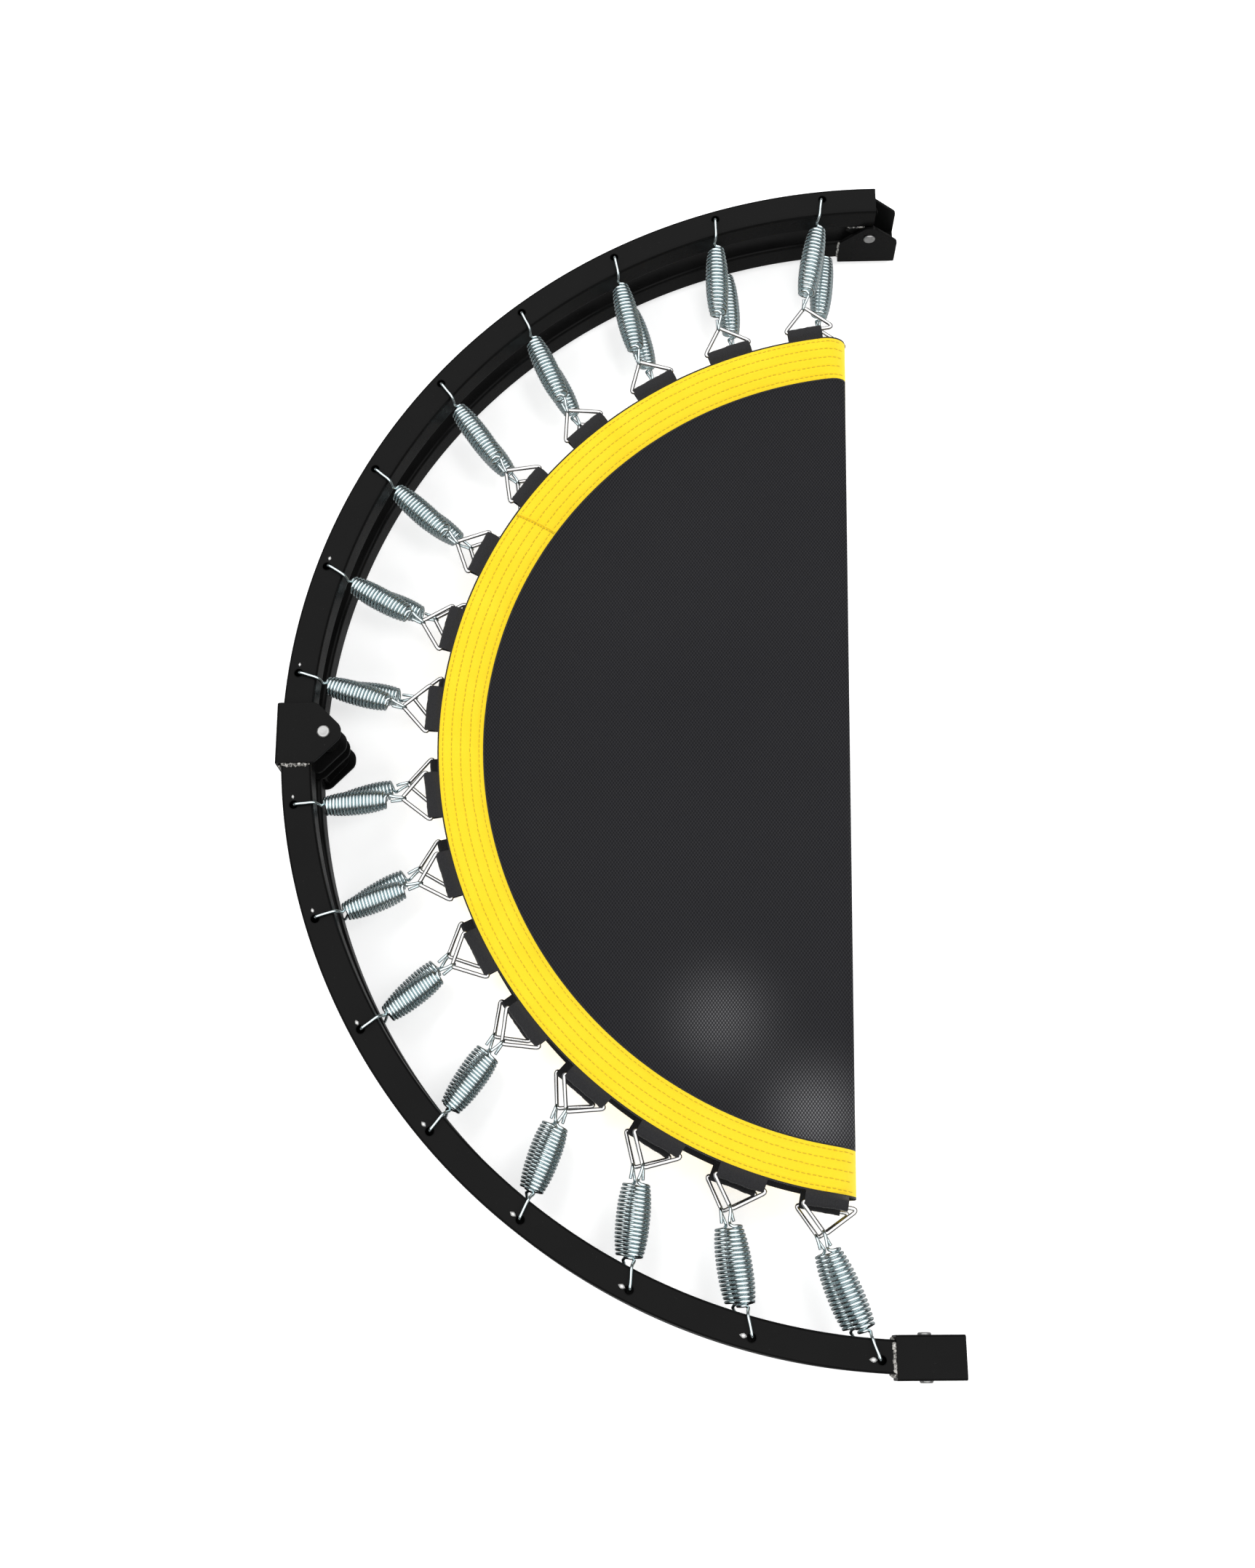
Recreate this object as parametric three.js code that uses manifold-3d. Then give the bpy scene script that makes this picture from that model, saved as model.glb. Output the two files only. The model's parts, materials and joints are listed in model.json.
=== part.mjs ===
// Folding mini trampoline (rebounder), folded in half and lying on the floor.
//
// The frame is a ring of four square-tube quarters. A hinge joins each pair of neighbours, so the
// ring folds in half about the Y axis, and the folded half folds again into a quarter about a
// vertical pin. A round mat hangs in the ring from coil springs.
//
// Axes: Y runs along the half-fold axis, Z is up, and the ring bulges towards -X.
// The origin is on the floor, in the middle of the folded trampoline's footprint.
// The solids are drawn about the ring's centre and moved there at the end. Sizes are in millimetres.

import * as THREE from 'three';
import { mergeVertices } from 'three/addons/utils/BufferGeometryUtils.js';
import Module from 'manifold-3d';

const wasm = await Module();
wasm.setup();

// ---------------------------------------------------------------- driving dimensions

const ringRadius = 508;            // outside of the frame tube: a 40 inch ring
const tubeSize = 25;               // square tube, outside
const tubeWall = 1.5;
const tubeCorner = 3;              // outside corner radius of the tube
const pinDepth = 36;               // hinge pin to the tube face that meets the bracket's web
const sheet = 2.8;                 // bracket sheet thickness
const webClearance = 0.8;          // tube to bracket web
const cheekClearance = 1.2;        // tube to each bracket cheek, which allows for the ring's curve
const seatGap = 0.3;               // gap left between pieces that rest on each other
const sewnGap = 1.2;               // the same along the curved seams of the mat

const springsPerQuarter = 8;
const springPitch = 11.25;         // degrees between neighbouring springs
const hookHoleRadius = 3.5;
const hookHoleInset = 9.5;         // hook hole to the outside of the ring
const knuckleHoleShift = 0.5;      // degrees that the knuckle quarters' holes sit nearer the half fold
const bracketHoleShift = 1.4;      // the same on the bracket quarters

const matRadius = 374;             // outside of the edge band
const matCentreX = -5;             // the slack mat of the folded ring hangs a little off its centre
const matCentreY = -5;
const bandWidth = 37.7;
const matThickness = 1.6;
const bandThickness = 2.4;
const foldEdgeX = -37;             // outermost line of the folded mat, at y = 0
const foldLean = 0.028;            // slope of that line across the ring
const tabReach = 12;               // webbing loop beyond the band
const tabWidth = 44;
const rimHeight = 22;              // mat edge above the half-fold axis
const restHeight = 6.5;            // mat centre above the half-fold axis
const nestStep = 2.5;              // half the height step between the two nested mat layers
const sagWidth = 75;               // distance over which the mat drops from its rim

const tubeMid = ringRadius - tubeSize / 2;
const holeRadius = ringRadius - hookHoleInset;
const pinRadius = ringRadius - pinDepth;
const webOutside = pinDepth + webClearance + sheet;
const layerMid = pinDepth - tubeSize / 2;
const cheekInside = tubeSize / 2 + cheekClearance;
const cheekOutside = cheekInside + sheet;

const degrees = Math.PI / 180;

// ---------------------------------------------------------------- materials

const paint = { color: 0x1b1b1d, roughness: 0.35, metalness: 0.2 };
const zinc = { color: 0xc9d2d6, roughness: 0.3, metalness: 0.9 };
const matCloth = { color: 0x2f2f31, roughness: 0.9, metalness: 0 };
const bandCloth = { color: 0xf7da28, roughness: 0.7, metalness: 0 };
const webbing = { color: 0x141414, roughness: 0.85, metalness: 0 };

// ---------------------------------------------------------------- solids

// A closed geometry as a solid that can be joined and cut.
function solid(geometry) {
  const bare = geometry.index ? geometry.toNonIndexed() : geometry.clone();
  bare.deleteAttribute('normal');
  bare.deleteAttribute('uv');
  const merged = mergeVertices(bare, 1e-4);
  return new wasm.Manifold(new wasm.Mesh({
    numProp: 3,
    vertProperties: new Float32Array(merged.attributes.position.array),
    triVerts: new Uint32Array(merged.index.array),
  }));
}

function geometryOf(body) {
  const mesh = body.getMesh();
  const geometry = new THREE.BufferGeometry();
  geometry.setAttribute('position', new THREE.BufferAttribute(new Float32Array(mesh.vertProperties), 3));
  geometry.setIndex(new THREE.BufferAttribute(new Uint32Array(mesh.triVerts), 1));
  return geometry;
}

function joined(bodies) {
  return bodies.reduce((sum, body) => sum.add(body));
}

function box(sizeX, sizeY, sizeZ, x, y, z) {
  return solid(new THREE.BoxGeometry(sizeX, sizeY, sizeZ).translate(x, y, z));
}

// A cylinder along Z whose flats stay outside the given radius, for bores.
function boreCutter(radius, length, sides, x, y, z) {
  const cylinder = new THREE.CylinderGeometry(radius, radius, length, sides);
  return solid(cylinder.rotateX(Math.PI / 2).translate(x, y, z));
}

// A slab between two heights over a grid of points: rows[i][j] = { x, y, z } on its middle surface.
function slab(rows, thickness) {
  const across = rows[0].length;
  const positions = [];
  for (const side of [0.5, -0.5]) {
    for (const row of rows) {
      for (const point of row) {
        positions.push(point.x, point.y, point.z + side * thickness);
      }
    }
  }
  const below = rows.length * across;
  const indices = [];
  const quad = (a, b, c, d) => indices.push(a, b, c, a, c, d);
  for (let i = 0; i + 1 < rows.length; i += 1) {
    for (let j = 0; j + 1 < across; j += 1) {
      const a = i * across + j;
      quad(a, a + across, a + across + 1, a + 1);
      quad(below + a, below + a + 1, below + a + across + 1, below + a + across);
    }
    const first = i * across;
    const last = first + across - 1;
    quad(first, below + first, below + first + across, first + across);
    quad(last, last + across, below + last + across, below + last);
  }
  for (let j = 0; j + 1 < across; j += 1) {
    const end = (rows.length - 1) * across + j;
    quad(j, j + 1, below + j + 1, below + j);
    quad(end, below + end, below + end + 1, end + 1);
  }
  const geometry = new THREE.BufferGeometry();
  geometry.setAttribute('position', new THREE.BufferAttribute(new Float32Array(positions), 3));
  geometry.setIndex(indices);
  const body = solid(geometry);
  if (body.volume() > 0) {
    return geometryOf(body);
  }
  for (let k = 0; k < indices.length; k += 3) {
    [indices[k], indices[k + 1]] = [indices[k + 1], indices[k]];
  }
  geometry.setIndex(indices);
  return geometryOf(solid(geometry));
}

// ---------------------------------------------------------------- frame tube

function squareOutline(half, corner, cornerPoints) {
  const points = [];
  const centres = [[1, 1], [-1, 1], [-1, -1], [1, -1]];
  centres.forEach(([sx, sy], quadrant) => {
    for (let k = 0; k < cornerPoints; k += 1) {
      const turn = cornerPoints > 1 ? k / (cornerPoints - 1) : 0.5;
      const angle = (quadrant + turn) * 90 * degrees;
      points.push(new THREE.Vector2(
        sx * (half - corner) + corner * Math.cos(angle),
        sy * (half - corner) + corner * Math.sin(angle),
      ));
    }
  });
  return points;
}

class RingArc extends THREE.Curve {
  constructor(fromDegrees, toDegrees) {
    super();
    this.from = fromDegrees * degrees;
    this.to = toDegrees * degrees;
  }

  getPoint(t, target = new THREE.Vector3()) {
    const angle = this.from + (this.to - this.from) * t;
    return target.set(tubeMid * Math.cos(angle), tubeMid * Math.sin(angle), layerMid);
  }
}

// One quarter of the ring in the upper layer, drilled on its top face for the spring hooks.
function tubeQuarter(fromDegrees, toDegrees, holeAngles) {
  const section = new THREE.Shape(squareOutline(tubeSize / 2, tubeCorner, 2));
  const inside = squareOutline(tubeSize / 2 - tubeWall, tubeCorner - tubeWall, 1);
  section.holes.push(new THREE.Path(inside.reverse()));
  const tube = solid(new THREE.ExtrudeGeometry(section, {
    steps: 20,
    extrudePath: new RingArc(fromDegrees, toDegrees),
  }));
  const drills = holeAngles.map((angle) => boreCutter(
    hookHoleRadius,
    6,
    10,
    holeRadius * Math.cos(angle * degrees),
    holeRadius * Math.sin(angle * degrees),
    pinDepth,
  ));
  return geometryOf(tube.subtract(joined(drills)));
}

// ---------------------------------------------------------------- hinge hardware
//
// Hinge pieces are drawn about the pin: X along the tube, Y out through the bracket's web, Z along
// the pin. hingeFrame() then places them.

const pinHoleRadius = 4;
const pinShaftRadius = 3.9;
const bracketHalfLength = 26;
const cheekTip = -14;              // cheek edge beyond the pin
const cheekTipHalf = 5;
const chamferStart = 7;            // height above the pin where the cheek starts to narrow
const earRadius = 9;
const earThickness = 3;
const knuckleLength = 22;
const knuckleGap = 0.9;            // tube to the straight knuckle, which allows for the ring's curve
const rivetSeat = 0.15;
const rivetHeadHeight = 2.2;

function extruded(points, depth, z) {
  const outline = new THREE.Shape(points.map(([x, y]) => new THREE.Vector2(x, y)));
  const plate = new THREE.ExtrudeGeometry(outline, { depth, bevelEnabled: false });
  return solid(plate.translate(0, 0, z));
}

function channelBracket() {
  const shoulder = cheekTipHalf + 4;
  const cheek = [
    [-bracketHalfLength, webOutside],
    [-bracketHalfLength, chamferStart],
    [-shoulder, cheekTip + 4],
    [-cheekTipHalf, cheekTip],
    [cheekTipHalf, cheekTip],
    [shoulder, cheekTip + 4],
    [bracketHalfLength, chamferStart],
    [bracketHalfLength, webOutside],
  ];
  const channel = joined([
    extruded(cheek, sheet, cheekInside),
    extruded(cheek, sheet, -cheekOutside),
    box(2 * bracketHalfLength, sheet, 2 * cheekOutside, 0, webOutside - sheet / 2, 0),
  ]);
  return geometryOf(channel.subtract(boreCutter(pinHoleRadius, 4 * cheekOutside, 16, 0, 0, 0)));
}

function knuckle() {
  const seat = pinDepth - tubeSize - knuckleGap;
  const ear = [[-3, seat], [knuckleLength, seat], [knuckleLength, seat - earThickness]];
  for (const angle of [-45, -70, -95, -120, -150, -180, -210]) {
    ear.push([earRadius * Math.cos(angle * degrees), earRadius * Math.sin(angle * degrees)]);
  }
  const half = tubeSize / 2;
  const body = joined([
    extruded(ear, earThickness, half - earThickness),
    extruded(ear, earThickness, -half),
    box(knuckleLength - 9, earThickness, tubeSize, (knuckleLength + 9) / 2, seat - earThickness / 2, 0),
  ]);
  return geometryOf(body.subtract(boreCutter(pinHoleRadius, 4 * half, 16, 0, 0, 0)));
}

function rivet() {
  const headRadius = 5.4;
  const seat = cheekOutside + rivetSeat;
  const half = [
    [0, -seat - rivetHeadHeight],
    [headRadius * 0.6, -seat - rivetHeadHeight * 0.85],
    [headRadius, -seat],
    [pinShaftRadius, -seat],
  ];
  const mirrored = half.map(([radius, height]) => [radius, -height]).reverse();
  const profile = [...half, ...mirrored].map(([radius, height]) => new THREE.Vector2(radius, height));
  const turned = new THREE.LatheGeometry(profile, 16);
  return geometryOf(solid(turned.rotateX(Math.PI / 2)));
}

function hingeFrame(along, outward, x, y, z) {
  const across = new THREE.Vector3().crossVectors(along, outward);
  const frame = new THREE.Group();
  frame.matrixAutoUpdate = false;
  frame.matrix.makeBasis(along, outward, across).setPosition(x, y, z);
  return frame;
}

// ---------------------------------------------------------------- springs
//
// A spring is drawn with its hook hole at the origin, X pointing to the ring's centre and Z up from
// the tube's top face.

const coilStart = 23.5;            // hook hole to the coil's outer end
const coilRadius = 9;
const coilEndRadius = 5.8;
const coilDrop = 12;               // coil axis below the tube's top face
const springWire = 1.3;            // radius
const ringWire = 3.4;              // triangle ring, wire diameter
const ringBase = 46;
const ringHeight = 27;

function wireAlong(points, steps) {
  const circle = new THREE.Shape();
  circle.absarc(0, 0, springWire, 0, 2 * Math.PI);
  const path = new THREE.CatmullRomCurve3(points.map((p) => new THREE.Vector3(...p)));
  return solid(new THREE.ExtrudeGeometry(circle, { steps, curveSegments: 3, extrudePath: path }));
}

// turn is the angle between the spring and the ring, which pulls squarely on its loop.
function triangleRing(apexX, turn) {
  const outline = (inset) => {
    const half = ringBase / 2 - inset * 1.7;
    const points = [
      [inset * 1.2, 3],
      [inset * 1.2, -3],
      [ringHeight - 5, -half],
      [ringHeight - inset, -half + 4],
      [ringHeight - inset, half - 4],
      [ringHeight - 5, half],
    ];
    return points.map(([x, y]) => new THREE.Vector2(x, y));
  };
  const shape = new THREE.Shape(outline(0));
  shape.holes.push(new THREE.Path(outline(ringWire)));
  const plate = new THREE.ExtrudeGeometry(shape, { depth: ringWire, bevelEnabled: false });
  return solid(plate.rotateZ(turn).translate(apexX, 0, -ringWire / 2 - coilDrop));
}

// reach is the distance from the hook hole to the triangle ring's tip.
function springWithRing(reach, turn) {
  const coilLength = reach - coilStart - 4;
  const profile = [
    [0, 0],
    [coilEndRadius, 0],
    [coilRadius - 0.6, 0.2],
    [coilRadius, 0.45],
    [coilRadius - 0.6, 0.8],
    [coilEndRadius, 1],
    [0, 1],
  ].map(([radius, share]) => new THREE.Vector2(radius, share * coilLength));
  const coil = new THREE.LatheGeometry(profile, 8);
  coil.rotateZ(-Math.PI / 2).translate(coilStart, 0, -coilDrop);
  const coilEnd = coilStart + coilLength;
  const hook = wireAlong([
    [0, 0, -5],
    [0.5, 0, 0.5],
    [6, 0, 2.4],
    [15, 0, 2],
    [coilStart - 2.5, 0, -3.5],
    [coilStart + 2, 0, -coilDrop + coilEndRadius - 2.5],
  ], 6);
  const link = box(8, 2 * springWire, 2 * springWire, coilEnd + 3, 0, -coilDrop);
  return geometryOf(joined([solid(coil), hook, link, triangleRing(reach, turn)]));
}

// ---------------------------------------------------------------- mat
//
// side is +1 for the +Y half, and layer is +1 for the upper layer of the folded mat.

function smooth(t) {
  const clamped = Math.min(1, Math.max(0, t));
  return clamped * clamped * (3 - 2 * clamped);
}

function foldLineX(y) {
  return foldEdgeX + foldLean * y;
}

// Height of the mat above the half-fold axis. The half on the +Y side nests under the other half.
function matHeight(x, y) {
  const inboard = matRadius - Math.hypot(x - matCentreX, y - matCentreY);
  const sag = restHeight + (rimHeight - restHeight) * (1 - smooth(inboard / sagWidth));
  return sag - nestStep * Math.sign(y) * smooth(Math.abs(y) / 80);
}

function matPoint(x, y, layer, share = 1) {
  return { x, y, z: layer * share * matHeight(x, y) };
}

// A point on a circle about the mat's centre. Angles run from the fold line (90) to y = 0 (180).
function circlePoint(radius, angle, side) {
  return {
    x: matCentreX + radius * Math.cos(angle * degrees),
    y: matCentreY + side * radius * Math.sin(angle * degrees),
  };
}

// The angle at which such a circle meets the next quarter, at y = 0.
function innerAngle(radius, side) {
  return 180 - Math.asin((seatGap / 2 - side * matCentreY) / radius) / degrees;
}

// The angle at which such a circle comes within the inset of the fold line.
function foldAngle(radius, side, inset) {
  const lineX = foldLineX(matCentreY + side * radius) - inset;
  return Math.acos((lineX - matCentreX) / radius) / degrees;
}

function matQuarter(side, layer) {
  const radius = matRadius - bandWidth - sewnGap;
  const flatInset = 9;
  const rows = [];
  const columns = 8;
  const cornerAngle = foldAngle(radius, side, flatInset + 3);
  const reach = Math.abs(circlePoint(radius, cornerAngle, side).y) - seatGap / 2;
  for (let k = 0; k <= columns; k += 1) {
    const share = k / columns;
    const y = side * (seatGap / 2 + share * reach);
    const lineX = foldLineX(y);
    const angle = innerAngle(radius, side) + (cornerAngle - innerAngle(radius, side)) * share;
    const rim = circlePoint(radius, angle, side);
    const row = [
      matPoint(lineX - 0.5, y, layer, 0.35),
      matPoint(lineX - 3, y, layer, 0.75),
    ];
    for (const t of [0, 0.3, 0.6, 0.8, 0.9, 1]) {
      const flatX = lineX - flatInset;
      row.push(matPoint(flatX + (rim.x - flatX) * t, y + (rim.y - y) * t, layer));
    }
    rows.push(row);
  }
  return slab(rows, matThickness);
}

function bandQuarter(side, layer) {
  const rows = [];
  const steps = 12;
  for (let k = 0; k <= steps; k += 1) {
    const row = [];
    for (const radius of [matRadius - bandWidth, matRadius - bandWidth / 2, matRadius]) {
      const from = innerAngle(radius, side);
      const angle = from + (foldAngle(radius, side, 9) - from) * (k / steps);
      const { x, y } = circlePoint(radius, angle, side);
      row.push(matPoint(x, y, layer));
    }
    rows.push(row);
  }
  return slab(rows, bandThickness);
}

// The webbing loops of one quarter, on the tape that is sewn along the mat's edge.
function loopQuarter(side, layer) {
  const tapeIn = matRadius + sewnGap;
  const tapeOut = tapeIn + 2.5;
  const tabOut = matRadius + tabReach;
  const tabHalf = tabWidth / 2 / tabOut / degrees;
  const at = (radius, angle) => {
    const { x, y } = circlePoint(radius, angle, side);
    return new THREE.Vector2(x, y);
  };
  const angles = tabAngles(side).map((angle) => (side > 0 ? angle : 360 - angle));
  angles.sort((a, b) => b - a);
  const first = angles[0] + tabHalf + 0.5;
  const last = angles[angles.length - 1] - tabHalf - 0.5;
  const points = [at(tapeOut, first)];
  for (const angle of angles) {
    points.push(at(tapeOut, angle + tabHalf), at(tabOut, angle + tabHalf));
    points.push(at(tabOut, angle - tabHalf), at(tapeOut, angle - tabHalf));
  }
  points.push(at(tapeOut, last));
  const steps = 16;
  for (let k = 0; k <= steps; k += 1) {
    points.push(at(tapeIn, last + (first - last) * (k / steps)));
  }
  const thickness = 3;
  const strip = new THREE.ExtrudeGeometry(new THREE.Shape(points), { depth: thickness, bevelEnabled: false });
  const height = layer * (rimHeight - side * nestStep) - thickness / 2;
  return geometryOf(solid(strip.translate(0, 0, height)));
}

// ---------------------------------------------------------------- assembly

function mesh(name, geometry, look) {
  const flat = geometry.index ? geometry.toNonIndexed() : geometry;
  flat.computeVertexNormals();
  const made = new THREE.Mesh(flat, new THREE.MeshStandardMaterial({ ...look, flatShading: true }));
  made.name = name;
  return made;
}

// Hook hole angles in degrees from +X. On the upper layer the knuckle quarter is on the +Y side.
const knuckleHoles = [];
const bracketHoles = [];
for (let k = 0; k < springsPerQuarter; k += 1) {
  const fromPin = springPitch / 2 + springPitch * k;
  knuckleHoles.push(90 + fromPin - knuckleHoleShift);
  bracketHoles.push(180 + fromPin + bracketHoleShift);
}

// Webbing loop angles about the mat's centre. The folded mat pulls them away from the fold line,
// so the springs near that line lean towards the quarter-fold hinge.
function tabAngles(side) {
  const first = side > 0 ? 98.2 : 186.9;
  const pitch = side > 0 ? 11.04 : 10.47;
  return knuckleHoles.map((_, k) => first + pitch * k);
}

// The tube ends stop short of the pins (bracket side) or run just past them (knuckle side).
const knuckleOverrun = Math.asin(3 / tubeMid) / degrees;
const bracketSetback = Math.asin(8 / tubeMid) / degrees;

const shapes = {
  knuckleTube: tubeQuarter(90 - knuckleOverrun, 180 + knuckleOverrun, knuckleHoles),
  bracketTube: tubeQuarter(180 + bracketSetback, 270 - bracketSetback, bracketHoles),
  bracket: channelBracket(),
  knuckle: knuckle(),
  rivet: rivet(),
};

const plusX = new THREE.Vector3(1, 0, 0);
const plusY = new THREE.Vector3(0, 1, 0);
const plusZ = new THREE.Vector3(0, 0, 1);

// The lower rivet head of the quarter-fold hinge is the lowest point and touches the floor.
const axisHeight = layerMid + cheekOutside + rivetSeat + rivetHeadHeight;

// The footprint runs from the quarter-fold brackets' webs to the half-fold brackets' free ends.
const footprintMiddle = (bracketHalfLength - pinRadius - webOutside) / 2;

// The steel of one folded layer, drawn above the half-fold axis. The lower layer is the same
// steel turned half a turn about X, so its quarters swap sides.
function steelLayer(names) {
  const layer = new THREE.Group();
  layer.add(mesh(`tube_${names.knuckleQuarter}`, shapes.knuckleTube, paint));
  layer.add(mesh(`tube_${names.bracketQuarter}`, shapes.bracketTube, paint));

  const swing = hingeFrame(plusY, plusX.clone().negate(), -pinRadius, 0, layerMid);
  swing.add(mesh(`quarter_fold_bracket_${names.layer}`, shapes.bracket, paint));
  swing.add(mesh(`quarter_fold_knuckle_${names.layer}`, shapes.knuckle, paint));
  swing.add(mesh(`quarter_fold_rivet_${names.layer}`, shapes.rivet, zinc));
  layer.add(swing);

  const bracketEnd = hingeFrame(plusX, plusZ, 0, -tubeMid, 0);
  bracketEnd.add(mesh(`half_fold_bracket_${names.bracketQuarter}`, shapes.bracket, paint));
  bracketEnd.add(mesh(`half_fold_rivet_${names.bracketQuarter}`, shapes.rivet, zinc));
  layer.add(bracketEnd);

  const knuckleEnd = hingeFrame(plusX.clone().negate(), plusZ, 0, tubeMid, 0);
  knuckleEnd.add(mesh(`half_fold_knuckle_${names.knuckleQuarter}`, shapes.knuckle, paint));
  layer.add(knuckleEnd);
  return layer;
}

// One spring, from its hook hole in the tube to its webbing loop. Angles are seen from above.
function hungSpring(name, layer, holeAngle, tabAngle) {
  const hook = new THREE.Vector2(
    holeRadius * Math.cos(holeAngle * degrees),
    holeRadius * Math.sin(holeAngle * degrees),
  );
  const tip = circlePoint(matRadius + tabReach + sewnGap + ringHeight, tabAngle, 1);
  const reach = Math.hypot(tip.x - hook.x, tip.y - hook.y);
  const heading = Math.atan2(tip.y - hook.y, tip.x - hook.x);
  const turn = layer * (tabAngle * degrees - Math.PI - heading);
  const spring = mesh(name, springWithRing(reach, turn), zinc);
  spring.position.set(hook.x, hook.y, layer * pinDepth);
  spring.rotation.order = 'ZXY';
  spring.rotation.z = heading;
  spring.rotation.x = layer > 0 ? 0 : Math.PI;
  return spring;
}

// Everything soft, and the springs, of all four quarters.
function softPieces() {
  const group = new THREE.Group();
  const turned = (angles) => angles.map((angle) => 360 - angle).reverse();
  const quarters = [
    { name: 'upper_back', side: 1, layer: 1, holes: knuckleHoles },
    { name: 'upper_front', side: -1, layer: 1, holes: bracketHoles },
    { name: 'lower_back', side: 1, layer: -1, holes: turned(bracketHoles) },
    { name: 'lower_front', side: -1, layer: -1, holes: turned(knuckleHoles) },
  ];
  for (const { name, side, layer, holes } of quarters) {
    group.add(mesh(`mat_${name}`, matQuarter(side, layer), matCloth));
    group.add(mesh(`edge_band_${name}`, bandQuarter(side, layer), bandCloth));
    group.add(mesh(`webbing_loops_${name}`, loopQuarter(side, layer), webbing));
    holes.forEach((angle, k) => {
      group.add(hungSpring(`spring_${name}_${k + 1}`, layer, angle, tabAngles(side)[k]));
    });
  }
  return group;
}

const upper = steelLayer({
  layer: 'upper',
  knuckleQuarter: 'upper_back',
  bracketQuarter: 'upper_front',
});
const lower = steelLayer({
  layer: 'lower',
  knuckleQuarter: 'lower_front',
  bracketQuarter: 'lower_back',
});
lower.rotation.x = Math.PI;

const trampoline = new THREE.Group();
trampoline.add(upper, lower, softPieces());
trampoline.position.set(-footprintMiddle, 0, axisHeight);
trampoline.updateMatrixWorld(true);

export default trampoline;
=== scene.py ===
"""Looks for the folding mini trampoline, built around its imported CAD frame.

Shapes are worked out in millimetres about the ring's centre, at the height of the half-fold axis,
and moved into the frame as each piece is made. "side" is +1 for the half on the +Y side, and
"layer" is +1 for the upper layer of the folded trampoline.
"""

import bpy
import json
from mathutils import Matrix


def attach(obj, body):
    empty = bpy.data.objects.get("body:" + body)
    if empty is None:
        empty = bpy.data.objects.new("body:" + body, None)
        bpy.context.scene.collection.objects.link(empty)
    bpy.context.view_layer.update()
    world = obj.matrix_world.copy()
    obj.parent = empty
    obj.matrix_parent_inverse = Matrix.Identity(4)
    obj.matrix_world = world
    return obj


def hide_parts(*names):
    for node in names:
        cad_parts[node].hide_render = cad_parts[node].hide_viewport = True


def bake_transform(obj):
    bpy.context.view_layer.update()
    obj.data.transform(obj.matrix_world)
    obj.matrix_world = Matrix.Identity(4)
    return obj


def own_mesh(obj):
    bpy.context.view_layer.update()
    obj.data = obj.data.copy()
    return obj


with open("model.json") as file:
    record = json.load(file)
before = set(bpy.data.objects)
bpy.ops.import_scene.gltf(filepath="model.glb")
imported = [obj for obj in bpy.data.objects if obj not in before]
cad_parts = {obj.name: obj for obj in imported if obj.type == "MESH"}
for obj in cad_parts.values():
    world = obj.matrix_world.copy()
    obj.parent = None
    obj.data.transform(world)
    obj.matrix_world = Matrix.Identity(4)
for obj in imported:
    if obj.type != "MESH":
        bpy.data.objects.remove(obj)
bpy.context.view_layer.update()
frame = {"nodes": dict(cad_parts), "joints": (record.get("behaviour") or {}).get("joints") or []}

import json
import math

import bmesh
import bpy
import numpy as np
from mathutils import Vector

rng = np.random.default_rng(40)

# ---------------------------------------------------------------- dimensions, as in the CAD part

MM = 0.001
RING_RADIUS = 508
TUBE = 25
TUBE_MID = RING_RADIUS - TUBE / 2
TUBE_WALL = 1.5
TUBE_CORNER = 3.6
PIN_DEPTH = 36
LAYER_MID = PIN_DEPTH - TUBE / 2
CHEEK_OUTSIDE = 16.5
WEB_OUTSIDE = 39.6
BRACKET_HALF = 26
HOLE_RING = 498.5
HOLE_RADIUS = 3.5
SPRING_PITCH = 11.25
MAT_RADIUS = 374
MAT_CENTRE = np.array([-5.0, -5.0])
BAND_WIDTH = 36
BAND_INSIDE = MAT_RADIUS - BAND_WIDTH
FOLD_X = -37                       # where the cloth turns in, inboard of the fold axis
FOLD_LEAN = 0.028                  # slant of that line
RIM_HEIGHT = 22                    # of the cloth above the half-fold axis
REST_HEIGHT = 6.5                  # the same away from the rim
SAG_WIDTH = 75                     # how far in from the rim the cloth gets there
NEST_STEP = 2.5                    # lower on the +Y side, higher on the -Y side, so that the halves nest
CLOTH = 1.1
LOOP_BAR = 9.4                     # from the mat's rim out to the middle of a ring's base bar
LOOP_HALF = 19.3
LOOPS_PER_QUARTER = 8
SLIP_AT = (98, 140, 190, 262)      # places round the mat, in degrees
LOWER_SLIP = (2.2, 1.4, 4.0, 0.2)  # how far the lower layer's loops have slipped there, in degrees

joints = {joint["name"]: joint for joint in frame["joints"]}
fold_point = joints["half_fold"]["pos_m"]
ORIGIN = np.array([fold_point[0] / MM, 0, fold_point[2] / MM])


def holes(first):
    """The places of a quarter's hook holes round the ring, in degrees."""
    return [first + SPRING_PITCH * k for k in range(LOOPS_PER_QUARTER)]


KNUCKLE_HOLES = holes(90 + SPRING_PITCH / 2 - 0.5)
BRACKET_HOLES = holes(180 + SPRING_PITCH / 2 + 1.4)


def turned(angles):
    """The same places, seen from the other side of the ring."""
    return [360 - angle for angle in reversed(angles)]


QUARTERS = [
    {"body": "upper_back", "side": 1, "layer": 1, "knuckles": True, "holes": KNUCKLE_HOLES},
    {"body": "upper_front", "side": -1, "layer": 1, "knuckles": False, "holes": BRACKET_HOLES},
    {"body": "lower_back", "side": 1, "layer": -1, "knuckles": False, "holes": turned(BRACKET_HOLES)},
    {"body": "lower_front", "side": -1, "layer": -1, "knuckles": True, "holes": turned(KNUCKLE_HOLES)},
]


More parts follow.
